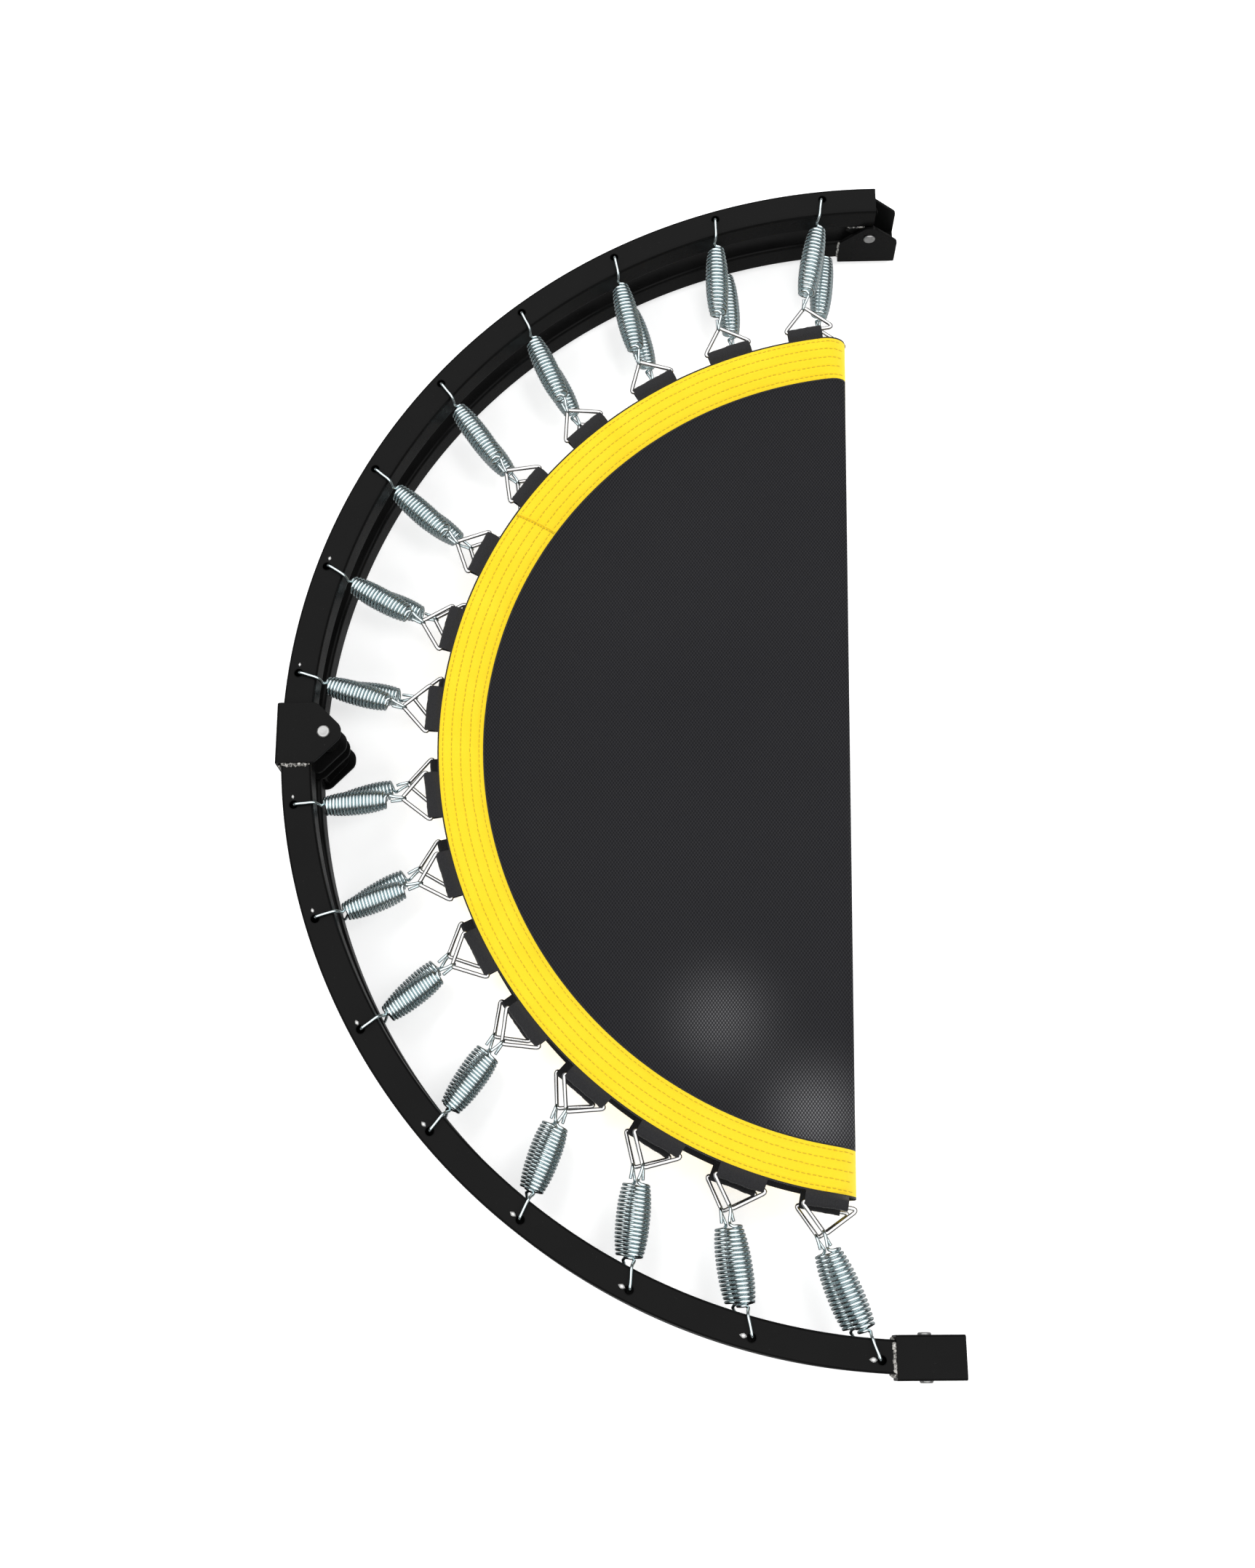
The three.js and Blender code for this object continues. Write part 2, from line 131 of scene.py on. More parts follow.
def tab_angles(quarter):
    """The loops' places round the mat. The slack lower layer has slipped a little round the ring."""
    first, pitch = (98.2, 11.04) if quarter["side"] > 0 else (186.9, 10.47)
    angles = first + pitch * np.arange(LOOPS_PER_QUARTER)
    slip = 0 if quarter["layer"] > 0 else np.interp(angles, SLIP_AT, LOWER_SLIP)
    return angles - slip


# ---------------------------------------------------------------- material nodes


class Look:
    """A node material, built up from small steps."""

    def __init__(self, name):
        self.material = bpy.data.materials.new(name)
        self.material.use_nodes = True
        self.tree = self.material.node_tree
        self.shader = self.tree.nodes["Principled BSDF"]
        self.place = self.add("ShaderNodeTexCoord").outputs["Object"]

    def add(self, kind, inputs=None, **settings):
        node = self.tree.nodes.new(kind)
        for key, value in settings.items():
            setattr(node, key, value)
        for key, value in (inputs or {}).items():
            self.feed(node.inputs[key], value)
        return node

    def feed(self, socket, value):
        if isinstance(value, bpy.types.NodeSocket):
            self.tree.links.new(value, socket)
        else:
            socket.default_value = value

    def set(self, **inputs):
        for key, value in inputs.items():
            self.feed(self.shader.inputs[key.replace("_", " ")], value)

    def math(self, operation, first, second=0.0):
        return self.add("ShaderNodeMath", {0: first, 1: second}, operation=operation).outputs[0]

    def noise(self, scale, detail=3.0, roughness=0.55):
        inputs = {"Vector": self.place, "Scale": scale, "Detail": detail, "Roughness": roughness}
        return self.add("ShaderNodeTexNoise", inputs).outputs[0]

    def remap(self, value, low, high, to_low, to_high):
        inputs = {0: value, 1: low, 2: high, 3: to_low, 4: to_high}
        return self.add("ShaderNodeMapRange", inputs).outputs[0]

    def mix(self, share, first, second):
        """A blend of two colours, each a tuple or another node's output."""
        first = (*first, 1) if isinstance(first, tuple) else first
        second = (*second, 1) if isinstance(second, tuple) else second
        return self.add("ShaderNodeMix", {0: share, 6: first, 7: second}, data_type="RGBA").outputs[2]

    def bump(self, height, distance, strength=1.0):
        inputs = {"Height": height, "Distance": distance, "Strength": strength}
        return self.add("ShaderNodeBump", inputs).outputs[0]


def painted_steel():
    look = Look("black_powder_coat")
    grain = look.noise(900, 2)
    patches = look.noise(22, 4)
    specks = look.remap(look.noise(420, 2, 0.8), 0.70, 0.76, 0, 1)
    colour = look.mix(patches, (0.0035, 0.0035, 0.0036), (0.0065, 0.0065, 0.0064))
    look.set(Base_Color=look.mix(look.math("MULTIPLY", specks, 0.25), colour, (0.06, 0.06, 0.06)))
    look.set(Roughness=look.remap(patches, 0.3, 0.7, 0.20, 0.34), Specular_IOR_Level=0.08)
    look.set(Normal=look.bump(grain, 0.0002, 0.25))
    return look.material


def zinc_wire():
    look = Look("zinc_plated_wire")
    tint = look.noise(60, 3)
    streak = look.noise(700, 2)
    look.set(Base_Color=look.mix(tint, (0.66, 0.80, 0.83), (0.90, 0.97, 0.98)), Metallic=1.0)
    look.set(Roughness=look.remap(streak, 0.3, 0.7, 0.12, 0.24))
    look.set(Normal=look.bump(streak, 0.0001, 0.15))
    return look.material


def bright_wire():
    look = Look("bright_plated_ring")
    tint = look.noise(90, 3)
    look.set(Base_Color=look.mix(tint, (0.66, 0.65, 0.65), (0.88, 0.87, 0.86)), Metallic=1.0)
    look.set(Roughness=look.remap(tint, 0.3, 0.7, 0.10, 0.24))
    return look.material


def dull_rivet():
    look = Look("rivet_steel")
    stains = look.noise(500, 4)
    look.set(Base_Color=look.mix(stains, (0.36, 0.36, 0.36), (0.64, 0.64, 0.63)), Metallic=0.9)
    look.set(Roughness=look.remap(stains, 0.3, 0.7, 0.30, 0.5))
    look.set(Normal=look.bump(stains, 0.0003, 0.3))
    return look.material


def weld_metal():
    look = Look("weld_bead")
    flakes = look.remap(look.noise(330, 4, 0.8), 0.44, 0.56, 0, 1)
    look.set(Base_Color=look.mix(flakes, (0.012, 0.012, 0.012), (0.78, 0.76, 0.72)))
    look.set(Roughness=0.5, Metallic=look.math("MULTIPLY", flakes, 0.4))
    look.set(Normal=look.bump(look.noise(600, 3), 0.0006, 0.7))
    return look.material


def painted_hole_glint():
    # bright steel for the lumps beside the hook holes: a painted highlight
    look = Look("painted_glint_steel")
    look.set(Base_Color=look.mix(look.noise(900), (0.6, 0.6, 0.6), (0.95, 0.95, 0.93)))
    look.set(Metallic=0.5, Roughness=0.3)
    return look.material


WEAVE_PITCH = (0.0026, 0.0036)     # metres along X and Y
SHEEN_PATCHES = [                  # x, y and reach in metres, and how strong the sheen painted into the cloth's colour is there
    (0.093, -0.236, 0.036, 0.45),
    (0.165, -0.312, 0.034, 0.7),
]


def woven_mat():
    """Black mesh cloth, with two patches on its upper face where a sheen is painted into the colour: the
    weave's knots lighter, as where the light catches them.
    """
    look = Look("woven_mat")
    axes = look.add("ShaderNodeSeparateXYZ", {0: look.place}).outputs
    waver = look.math("MULTIPLY", look.noise(9, 2), 0.0012)
    waves = []
    for axis, pitch in zip(axes, WEAVE_PITCH):
        phase = look.math("MULTIPLY", look.math("ADD", axis, waver), 2 * math.pi / pitch)
        waves.append(look.math("SINE", phase))
    knots = look.math("MULTIPLY", *waves)
    lit = look.remap(knots, -0.6, 1, 0, 1)
    patches = look.noise(6, 3)
    dark = look.mix(patches, (0.0085, 0.0085, 0.010), (0.0115, 0.0115, 0.013))
    light = look.mix(patches, (0.024, 0.024, 0.027), (0.032, 0.032, 0.035))
    # painted sheen: two soft spots where the knots are lightened in the base colour
    painted_sheen = 0.0
    for x, y, reach, weight in SHEEN_PATCHES:
        aside = look.math("DIVIDE", look.math("SUBTRACT", axes[0], x), reach)
        ahead = look.math("DIVIDE", look.math("SUBTRACT", axes[1], y), reach)
        square = look.math("ADD", look.math("MULTIPLY", aside, aside), look.math("MULTIPLY", ahead, ahead))
        spot = look.math("MULTIPLY", look.math("EXPONENT", look.math("MULTIPLY", square, -1)), weight)
        painted_sheen = look.math("ADD", painted_sheen, spot)
    upper = look.math("GREATER_THAN", axes[2], float(fold_point[2]))
    glint = look.math("MULTIPLY", look.math("MULTIPLY", painted_sheen, upper), look.remap(knots, -0.2, 1, 0.12, 1))
    look.set(Base_Color=look.mix(glint, look.mix(lit, dark, light), (0.30, 0.30, 0.31)))
    look.set(Roughness=look.remap(knots, -1, 1, 0.60, 0.42), Specular_IOR_Level=0.09)
    look.set(Sheen_Weight=0.02, Sheen_Roughness=0.4)
    look.set(Normal=look.bump(knots, 0.00035, 0.8))
    return look.material


def band_cloth():
    look = Look("yellow_band")
    fibre = look.noise(1500, 3, 0.7)
    patches = look.noise(30, 4)
    colour = look.mix(patches, (0.93, 0.64, 0.012), (1.0, 0.745, 0.03))
    look.set(Base_Color=look.mix(look.remap(fibre, 0.3, 0.75, 0, 0.35), colour, (0.80, 0.55, 0.02)))
    look.set(Roughness=0.78, Specular_IOR_Level=0.25, Sheen_Weight=0.1)
    look.set(Normal=look.bump(fibre, 0.0003, 0.35))
    return look.material


def band_thread():
    look = Look("yellow_thread")
    look.set(Base_Color=look.mix(look.noise(700), (0.52, 0.36, 0.01), (0.72, 0.52, 0.03)), Roughness=0.7)
    return look.material


def black_webbing():
    look = Look("black_webbing")
    inputs = {"Vector": look.place, "Scale": 260, "Distortion": 1.5, "Detail": 2}
    ribs = look.add("ShaderNodeTexWave", inputs)
    threads = look.noise(1100, 3)
    height = look.math("ADD", look.math("MULTIPLY", ribs.outputs[1], 0.6), threads)
    look.set(Base_Color=look.mix(threads, (0.010, 0.010, 0.011), (0.030, 0.030, 0.032)))
    look.set(Roughness=0.85, Specular_IOR_Level=0.25, Sheen_Weight=0.15)
    look.set(Normal=look.bump(height, 0.0005, 0.6))
    return look.material


PAINT = painted_steel()
ZINC = zinc_wire()
BRIGHT = bright_wire()
RIVET = dull_rivet()
WELD = weld_metal()
HOLE_GLINT = painted_hole_glint()
MAT = woven_mat()
BAND = band_cloth()
THREAD = band_thread()
WEBBING = black_webbing()

# ---------------------------------------------------------------- mesh helpers


def linked(name, mesh, material):
    """A new piece that shows the mesh in the material."""
    mesh.materials.clear()
    mesh.materials.append(material)
    piece = bpy.data.objects.new(name, mesh)
    bpy.context.scene.collection.objects.link(piece)
    return piece


def add_mesh(name, points, faces, material, sharp_degrees=None):
    """A new piece from points in mm about the ring's centre."""
    mesh = bpy.data.meshes.new(name)
    mesh.from_pydata(((np.asarray(points) + ORIGIN) * MM).tolist(), [], faces)
    mesh.update()
    mesh.shade_smooth()
    if sharp_degrees:
        mesh.set_sharp_from_angle(angle=math.radians(sharp_degrees))
    return linked(name, mesh, material)


class Shell:
    """Points and faces gathered from several parts of one mesh."""

    def __init__(self):
        self.points = []
        self.faces = []
        self.count = 0

    def add(self, points, faces):
        self.points.append(np.asarray(points, float))
        self.faces += [tuple(index + self.count for index in face) for face in faces]
        self.count += len(points)

    def piece(self, name, material, **settings):
        return add_mesh(name, np.concatenate(self.points), self.faces, material, **settings)


def grid_faces(rows, columns, close_rows=False, close_columns=False):
    """Four-sided faces between points that lie in rows."""
    faces = []
    for i in range(rows if close_rows else rows - 1):
        here = i * columns
        there = (i + 1) % rows * columns
        for j in range(columns if close_columns else columns - 1):
            k = (j + 1) % columns
            faces.append((here + j, here + k, there + k, there + j))
    return faces


def end_caps(rows, count):
    """The two faces that close a tube of rows, each with count points."""
    return [tuple(reversed(range(count))), tuple(range(count * (rows - 1), count * rows))]


def reversed_faces(faces):
    return [tuple(reversed(face)) for face in faces]


def sweep(path, radius, sides=8, closed=False):
    """A round wire along a path, as points and faces. radius may differ from point to point."""
    path = np.asarray(path, float)
    radii = np.broadcast_to(radius, len(path))
    if closed:
        tangents = np.roll(path, -1, 0) - np.roll(path, 1, 0)
    else:
        tangents = np.gradient(path, axis=0)
    tangents /= np.linalg.norm(tangents, axis=1)[:, None]
    normal = np.cross(tangents[0], (0.31, 0.27, 0.91))
    normals = []
    for tangent in tangents:
        normal = normal - tangent * (normal @ tangent)
        normal = normal / np.linalg.norm(normal)
        normals.append(normal)
    normals = np.array(normals)
    binormals = np.cross(tangents, normals)
    turn = np.linspace(0, 2 * math.pi, sides, endpoint=False)[None, :, None]
    circles = np.cos(turn) * normals[:, None] + np.sin(turn) * binormals[:, None]
    points = (path[:, None] + radii[:, None, None] * circles).reshape(-1, 3)
    faces = grid_faces(len(path), sides, close_rows=closed, close_columns=True)
    if not closed:
        faces += end_caps(len(path), sides)
    return points, faces


def curve_through(points, steps):
    """A smooth path through the points (Catmull-Rom)."""
    points = np.asarray(points, float)
    padded = np.vstack([2 * points[0] - points[1], points, 2 * points[-1] - points[-2]])
    path = []
    for a, b, c, d in zip(padded, padded[1:], padded[2:], padded[3:]):
        for t in np.linspace(0, 1, steps, endpoint=False):
            path.append(0.5 * (2 * b + (c - a) * t + (2 * a - 5 * b + 4 * c - d) * t * t
                               + (3 * b - a - 3 * c + d) * t ** 3))
    path.append(points[-1])
    return np.array(path)


def rounded_outline(corners, radius, steps):
    """A closed outline in the plane with every corner rounded. radius may be one per corner."""
    corners = np.asarray(corners, float)
    radii = np.broadcast_to(radius, len(corners))
    outline = []
    for k, corner in enumerate(corners):
        before = corners[k - 1] - corner
        after = corners[(k + 1) % len(corners)] - corner
        before /= np.linalg.norm(before)
        after /= np.linalg.norm(after)
        half = math.acos(np.clip(before @ after, -1, 1)) / 2
        reach = radii[k] / math.tan(half)
        start = corner + before * reach
        end = corner + after * reach
        for t in np.linspace(0, 1, steps):
            outline.append((1 - t) ** 2 * start + 2 * t * (1 - t) * corner + t * t * end)
    return np.array(outline)


def bake_modifiers(piece):
    """Gives the piece the mesh that its modifiers make, and drops them."""
    graph = bpy.context.evaluated_depsgraph_get()
    mesh = bpy.data.meshes.new_from_object(piece.evaluated_get(graph))
    piece.modifiers.clear()
    piece.data = mesh


def crisp(piece):
    """Keeps flat faces flat in the shading, next to rounded edges."""
    weighted = piece.modifiers.new("flat_faces", "WEIGHTED_NORMAL")
    weighted.keep_sharp = True
    bake_modifiers(piece)


# ---------------------------------------------------------------- frame tubes


def ring_points(section, angles, layer):
    """A section of (inboard, height) offsets from the tube's middle, carried round the ring."""
    rows = []
    for angle in np.radians(angles):
        radius = TUBE_MID - section[:, 0]
        height = layer * (LAYER_MID + section[:, 1])
        rows.append(np.stack([radius * math.cos(angle), radius * math.sin(angle), height], axis=1))
    return np.concatenate(rows)


def on_hole_ring(angle):
    """The place in plan of the hook hole at an angle in radians."""
    return np.array([math.cos(angle), math.sin(angle)]) * HOLE_RING


def hole_cutter(angles, layer):
    cutters = Shell()
    for angle in np.radians(angles):
        x, y = on_hole_ring(angle)
        path = [(x, y, layer * (PIN_DEPTH - 4)), (x, y, layer * (PIN_DEPTH + 2))]
        cutters.add(*sweep(path, HOLE_RADIUS, 28))
    return cutters.piece("hole_cutter", PAINT)


def frame_tube(quarter):
    """One quarter of the ring: a hollow square tube, drilled for the hooks."""
    overrun = math.degrees(math.asin(3 / TUBE_MID))
    setback = math.degrees(math.asin(8 / TUBE_MID))
    extra = overrun if quarter["knuckles"] else -setback
    start = 90 if quarter["side"] > 0 else 180
    angles = np.linspace(start - extra, start + 90 + extra, 100)
    half = TUBE / 2
    square = np.array([(1, 1), (-1, 1), (-1, -1), (1, -1)])
    outside = rounded_outline(square * half, TUBE_CORNER, 6)
    inside = rounded_outline(square * (half - TUBE_WALL), TUBE_CORNER - TUBE_WALL, 6)
    count = len(outside)
    shell = Shell()
    for section, flip in ((outside, False), (inside, True)):
        faces = grid_faces(len(angles), count, close_columns=True)
        points = ring_points(section, angles, quarter["layer"])
        shell.add(points, reversed_faces(faces) if flip else faces)
    inner = count * len(angles)
    last = count * (len(angles) - 1)
    for k in range(count):
        n = (k + 1) % count
        shell.faces.append((k, inner + k, inner + n, n))
        shell.faces.append((last + n, inner + last + n, inner + last + k, last + k))
    tube = shell.piece(f"frame_tube_{quarter['body']}", PAINT)
    clean = bmesh.new()
    clean.from_mesh(tube.data)
    bmesh.ops.recalc_face_normals(clean, faces=clean.faces)
    clean.to_mesh(tube.data)
    clean.free()
    cutter = hole_cutter(quarter["holes"], quarter["layer"])
    cut = tube.modifiers.new("holes", "BOOLEAN")
    cut.object = cutter
    cut.solver = "EXACT"
    bake_modifiers(tube)
    bpy.data.objects.remove(cutter)
    tube.data.set_sharp_from_angle(angle=math.radians(35))
    crisp(tube)
    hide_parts(f"tube_{quarter['body']}")
    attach(tube, quarter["body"])


UNGLINTED_SHARE = 0.35                      # the holes further to the +Y side than this share get no painted highlight beside them


def hole_details(quarter):
    """A thin raised burr round each hook hole, and beside most holes a small bright steel lump that paints a
    highlight there.
    """
    burrs = Shell()
    glint_lumps = Shell()
    height = quarter["layer"] * PIN_DEPTH
    turn = np.linspace(0, 2 * math.pi, 28, endpoint=False)
    for angle in np.radians(quarter["holes"]):
        x, y = on_hole_ring(angle)
        radius = HOLE_RADIUS + 0.25
        ring = np.stack([x + radius * np.cos(turn), y + radius * np.sin(turn), turn * 0 + height], axis=1)
        burrs.add(*sweep(ring, 0.32, 6, closed=True))
        if math.sin(angle) > UNGLINTED_SHARE:
            continue
        # a bright lump a little way round the ring from the hole, as a painted highlight
        round_ring = np.array([math.sin(angle), -math.cos(angle), 0])
        spot = np.array([x, y, height]) + round_ring * rng.uniform(6.0, 8.0)
        size = 0.9 + 0.9 * abs(math.sin(angle))
        along = round_ring * 1.7 * size
        path = [spot - along, spot - along * 0.5, spot, spot + along * 0.5, spot + along]
        glint_lumps.add(*sweep(path, [size * radius for radius in (0.1, 0.9, 1.2, 0.8, 0.1)], 8))
    for shell, name, material in ((burrs, "hole_burrs", PAINT), (glint_lumps, "hole_glint_lumps", HOLE_GLINT)):
        piece = shell.piece(f"{name}_{quarter['body']}", material)
        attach(piece, quarter["body"])


# ---------------------------------------------------------------- hinges


def softened(node, name, body, large, large_radius, small_radius):
    """The CAD node's shape with rounded edges: wide on the edges that large() picks."""
    shape = bmesh.new()
    shape.from_mesh(frame["nodes"][node].data)
    bmesh.ops.remove_doubles(shape, verts=shape.verts, dist=1e-6)
    bmesh.ops.dissolve_limit(shape, angle_limit=math.radians(2), verts=shape.verts, edges=shape.edges)
    picked = [edge for edge in shape.edges if large(edge)]
    if picked:
        bmesh.ops.bevel(shape, geom=picked, offset=large_radius * MM, segments=5, profile=0.5,
                        affect="EDGES", clamp_overlap=True)
    sharp = [edge for edge in shape.edges
             if len(edge.link_faces) == 2 and edge.calc_face_angle() > math.radians(32)]
    bmesh.ops.bevel(shape, geom=sharp, offset=small_radius * MM, segments=2, profile=0.5,
                    affect="EDGES", clamp_overlap=True)
    mesh = bpy.data.meshes.new(name)
    shape.to_mesh(mesh)
    shape.free()
    mesh.shade_smooth()
    mesh.set_sharp_from_angle(angle=math.radians(35))
    piece = linked(name, mesh, PAINT)
    crisp(piece)
    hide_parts(node)
    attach(piece, body)


def bracket_edges(pin, pin_axis, web_axis):
    """Picks the bends beside the web and the corners of the cheeks round the pin."""
    def large(edge):
        middle = sum((vert.co for vert in edge.verts), Vector()) / 2 - pin
        along = (edge.verts[1].co - edge.verts[0].co).normalized()
        across = abs(along.dot(pin_axis))
        out = middle.dot(web_axis)
        bend = out > (WEB_OUTSIDE - 0.5) * MM and across < 0.1 and abs(along.dot(web_axis)) < 0.1
        side = abs(middle.dot(pin_axis)) > 10 * MM
        corner = across > 0.95 and edge.calc_length() < 4 * MM and out < 20 * MM and side
        near_bore = middle.length < 20 * MM and (middle - pin_axis * middle.dot(pin_axis)).length < 6 * MM
        return (bend and side) or (corner and not near_bore)
    return large


def hinge(bracket, knuckle, bracket_body, knuckle_body, label, pin, pin_axis, web_axis):
    bends = bracket_edges(pin, pin_axis, web_axis)
    softened(bracket, f"bracket_{label}", bracket_body, bends, 3.2, 0.45)
    softened(knuckle, f"knuckle_{label}", knuckle_body, lambda edge: False, 0, 0.45)


RIVET_HEAD = [                     # radius, and height above the bracket's cheek
    (0.0, 1.5), (2.0, 1.55), (3.1, 1.9), (3.9, 2.05), (4.7, 1.8),
    (5.2, 1.2), (5.35, 0.5), (5.2, 0), (3.9, -0.1),
]


def rivet(node, body, pin, pin_axis):
    """A turned rivet with two formed heads, dished in the middle."""
    seat = CHEEK_OUTSIDE + 0.15
    half = [(radius, seat + rise) for radius, rise in RIVET_HEAD]
    profile = half + [(radius, -height) for radius, height in reversed(half)]
    sides = 48
    aside = pin_axis.orthogonal().normalized()
    third = pin_axis.cross(aside)
    points = []
    for radius, height in profile:
        for k in range(sides):
            angle = 2 * math.pi * k / sides
            points.append(pin / MM + pin_axis * height
                          + (aside * math.cos(angle) + third * math.sin(angle)) * max(radius, 0.02))
    faces = grid_faces(len(profile), sides, close_columns=True) + end_caps(len(profile), sides)
    piece = add_mesh(f"{node}_head", np.array([list(p) for p in points]) - ORIGIN, faces, RIVET, 50)
    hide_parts(node)
    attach(piece, body)


def weld_bead(name, body, ends, radius, wobble):
    """A lumpy bead between two points in mm about the ring's centre."""
    start, end = (np.array(point, float) for point in ends)
    steps = max(8, int(np.linalg.norm(end - start) / 0.7))
    path = start + (end - start) * np.linspace(0, 1, steps)[:, None]
    path += rng.normal(0, wobble, path.shape)
    ripple = radius * (0.75 + 0.35 * np.abs(np.sin(np.arange(steps) * 0.9)) + rng.uniform(-0.15, 0.15, steps))
    ripple[[0, -1]] *= 0.4
    piece = add_mesh(name, *sweep(path, ripple, 10), WELD)
    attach(piece, body)


def bracket_welds(layer):
    """Beads where the brackets of one layer meet their tube."""
    body = "upper_front" if layer > 0 else "lower_back"
    side = -layer
    high = layer * (LAYER_MID + TUBE / 2 + 0.3)
    low = layer * (LAYER_MID - TUBE / 2 - 0.3)
    inset = layer * 3
    x = -BRACKET_HALF - 0.6
    y = side * (BRACKET_HALF + 0.6)
    for label, start, end, radius, wobble in (
        ("quarter_top", (-506, y, high), (-484, y, high), 1.9, 0.45),
        ("quarter_under", (-506, y, low), (-484, y, low), 1.5, 0.25),
        ("quarter_web", (-508.2, y, high - inset), (-508.2, y, low + inset), 1.5, 0.25),
        ("half_top", (x, side * 506.5, high), (x, side * 484.5, high), 2.0, 0.3),
        ("half_out", (x, side * 508, high - inset), (x, side * 508, low), 1.5, 0.25),
        ("half_in", (x, side * 482.4, high - inset), (x, side * 482.4, low), 1.5, 0.25),
    ):
        weld_bead(f"weld_{label}_{body}", body, (start, end), radius, wobble)


def knuckle_welds(layer):
    """Small beads where the knuckles of one layer meet their tube."""
    body = "upper_back" if layer > 0 else "lower_front"
    side = layer
    low = layer * (LAYER_MID - TUBE / 2 + 1)
    high = layer * (LAYER_MID + TUBE / 2 - 1)
    under = layer * (PIN_DEPTH - TUBE - 0.4)
    for label, start, end in (
        ("quarter_low", (-482.6, side * 6, low), (-482.2, side * 21, low)),
        ("quarter_high", (-482.6, side * 6, high), (-482.2, side * 21, high)),
        ("half_out", (-5, side * 507, under), (-21, side * 507, under)),
        ("half_in", (-5, side * 484, under), (-21, side * 484, under)),
    ):
        weld_bead(f"weld_{label}_{body}", body, (start, end), 0.9, 0.12)


# ---------------------------------------------------------------- springs

COIL_START = 23.5                  # from the hook hole
COIL_DROP = 12                     # below the tube's outer face
COIL_TURNS = 18
TURN_STEPS = 18
COIL_MIDDLE = 9.0                  # radius of the wire's centre line, in the middle and at the ends
COIL_END = 6.1
SMALL_HOOK = 11.5
WIRE = 1.28                        # radius
RING_WIRE = 1.7                    # radius
RING_HEIGHT = 26
RING_HALF = 22.5
RING_BENDS = [2.6, 2.4, 2.4]       # radius at the tip and at the two ends of the base bar


def spring_wire(reach, tip_drop, sway):
    """The wire's centre line: hook, coil and small hook. X runs from the hook hole to the ring's tip."""
    coil_finish = reach - SMALL_HOOK
    slope = (tip_drop - COIL_DROP) / (reach - COIL_START)

    def axis(x):
        return -COIL_DROP - slope * (x - COIL_START)

    hook = curve_through([
        (0.4, sway, -6.5), (0.1, sway * 0.8, -2.5), (0.8, sway * 0.7, 1.0), (3.4, sway * 0.6, 2.5),
        (9.5, sway * 0.4, 2.1), (15.8, 0.0, 1.5), (19.2, -0.6, -1.2), (21.6, -1.6, -4.4),
    ], 6)
    turns = np.linspace(0, 1, COIL_TURNS * TURN_STEPS + 1)
    angle = 2 * math.pi * COIL_TURNS * turns
    swell = COIL_END + (COIL_MIDDLE - COIL_END) * (1 - np.abs(2 * turns - 1) ** 2.5)
    along = COIL_START + (coil_finish - COIL_START) * turns
    coil = np.stack([along, swell * np.sin(angle), axis(along) + swell * np.cos(angle)], axis=1)
    end = axis(coil_finish)
    tip = axis(reach)
    loop = curve_through([
        (coil_finish + 1.5, 2.2, end + COIL_END - 0.8), (coil_finish + 3.8, 2.2, end + 3.4),
        (reach - 2.5, 0.8, tip + 2.9), (reach + 1.6, 0.0, tip + 2.95), (reach + 4.5, -0.2, tip + 0.2),
        (reach + 2.0, -0.4, tip - 2.9), (reach - 3.5, -0.8, tip - 2.8), (reach - 7.5, -1.2, tip - 1.8),
    ], 6)
    return np.vstack([hook, coil, loop])


def hang_spring(quarter, k):
    """A spring from its hook hole to the tip of its triangle ring, and the ring."""
    layer = quarter["layer"]
    name = f"{quarter['body']}_{k + 1}"
    hook = on_hole_ring(math.radians(quarter["holes"][k]))
    tab = math.radians(tab_angles(quarter)[k])
    outward = np.array([math.cos(tab), math.sin(tab)])
    tangent = np.array([-outward[1], outward[0]])
    bar = MAT_CENTRE + outward * (MAT_RADIUS + LOOP_BAR)
    tip = bar + outward * (RING_HEIGHT - RING_WIRE)
    bar_height = soft_height(bar[0], bar[1]) - 0.2
    rise = rng.uniform(0.5, 3.5)

    heading = tip - hook
    reach = np.linalg.norm(heading)
    heading = heading / reach
    local = spring_wire(reach, PIN_DEPTH - (bar_height + rise), rng.uniform(-1.2, 1.2))
    flat = np.array([-heading[1], heading[0]])
    plan = hook + local[:, :1] * heading + layer * local[:, 1:2] * flat
    path = np.column_stack([plan, layer * (PIN_DEPTH + local[:, 2])])
    spring = add_mesh(f"coil_spring_{name}", *sweep(path, WIRE, 10), ZINC)
    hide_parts(f"spring_{name}")

    corners = [(RING_HEIGHT - 2 * RING_WIRE, 0), (0, RING_HALF), (0, -RING_HALF)]
    outline = rounded_outline(corners, RING_BENDS, 9)
    roll = rng.uniform(-0.10, 0.10)
    plan = bar + outline[:, :1] * outward + outline[:, 1:] * tangent
    along = outline[:, 0] / RING_HEIGHT
    lift = bar_height + along * rise + outline[:, 1] * roll * along
    path = np.column_stack([plan, layer * lift])
    ring = add_mesh(f"triangle_ring_{name}", *sweep(path, RING_WIRE, 10, closed=True), BRIGHT)
    for piece in (spring, ring):
        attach(piece, quarter["body"])
        if k == next_to_hinge(quarter["side"]):
            give_way(piece)


# ---------------------------------------------------------------- mat


def smooth(t):
    """0 below t = 0, 1 above t = 1, and an even bend between them."""
    t = np.clip(t, 0, 1)
    return t * t * (3 - 2 * t)


def fold_line(y):
    """How far along X the cloth reaches before it turns in at the half fold."""
    return FOLD_X + FOLD_LEAN * y


def flat_height(x, y):
    """Height of the cloth above the half-fold axis, before it turns in at the fold."""
    inboard = MAT_RADIUS - np.hypot(x - MAT_CENTRE[0], y - MAT_CENTRE[1])
    sag = REST_HEIGHT + (RIM_HEIGHT - REST_HEIGHT) * (1 - smooth(inboard / SAG_WIDTH))
    swell = 0.5 * np.sin(x / 61 + 0.6) * np.sin(y / 83 + 1.1) * smooth(inboard / 120)
    return sag - NEST_STEP * np.sign(y) * smooth(np.abs(y) / 80) + swell


